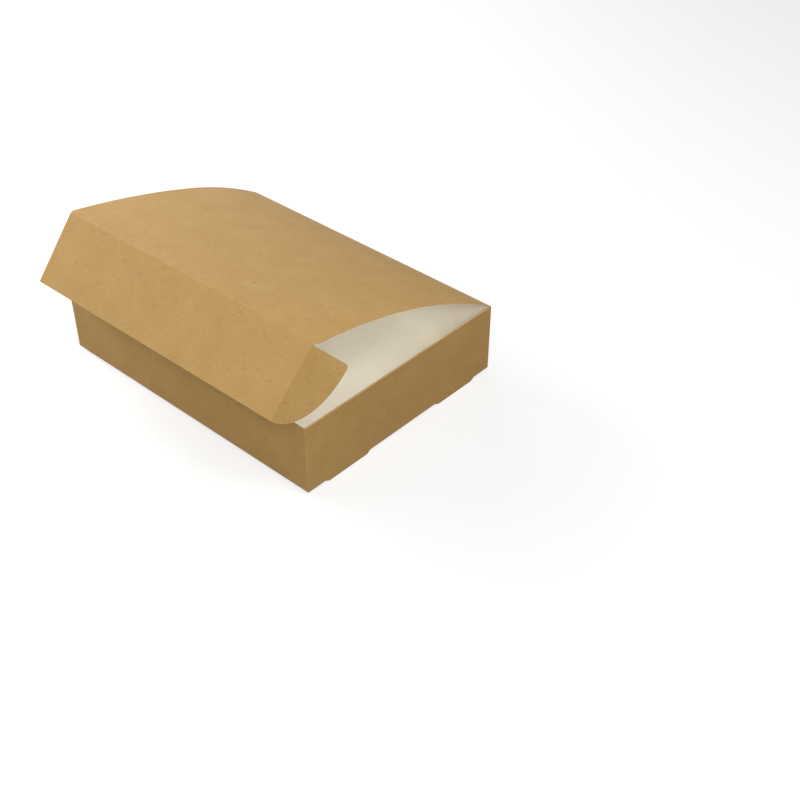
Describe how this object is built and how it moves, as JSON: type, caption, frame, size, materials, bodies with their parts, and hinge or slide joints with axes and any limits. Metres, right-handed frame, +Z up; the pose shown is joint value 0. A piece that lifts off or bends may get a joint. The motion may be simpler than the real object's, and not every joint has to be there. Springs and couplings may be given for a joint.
{
  "type": "cardboard tray box",
  "caption": "Shallow kraft board tray box, white inside, with its cambered lid ajar, a tuck flap and two ears.",
  "frame": {"origin": "middle of the underside of the tray's floor; the four small feet reach 2 mm below it", "axes": "+X along the long side to the right seen from the front, +Y from the front wall to the hinged back wall, +Z up"},
  "size_m": [0.2711, 0.2168, 0.1169],
  "materials": {
    "kraft_board": "matte"
  },
  "bodies": {
    "tray": {"tray": "kraft_board"},
    "lid": {"lid": "kraft_board"},
    "tuck_flap": {"tuck_flap": "kraft_board"},
    "right_ear": {"right_ear": "kraft_board"},
    "left_ear": {"left_ear": "kraft_board"}
  },
  "joints": [
    {"name": "lid_hinge", "type": "hinge", "parent": "tray", "child": "lid", "pos_m": [0, 0.09477, 0.05523], "axis": [-1, 0, 0], "range_deg": [0, 135]},
    {"name": "tuck_fold", "type": "hinge", "parent": "lid", "child": "tuck_flap", "pos_m": [0, -0.08312, 0.11354], "axis": [0.9999, 0.0057, 0.0089], "range_deg": [-53, 26]},
    {"name": "right_ear_fold", "type": "hinge", "parent": "tuck_flap", "child": "right_ear", "pos_m": [0.1228, -0.08242, 0.11463], "axis": [0, 0.7193, 0.6947], "range_deg": [-27, 63]},
    {"name": "left_ear_fold", "type": "hinge", "parent": "tuck_flap", "child": "left_ear", "pos_m": [-0.1228, -0.08381, 0.11245], "axis": [0, -0.6428, -0.766], "range_deg": [-90, 0]}
  ]
}
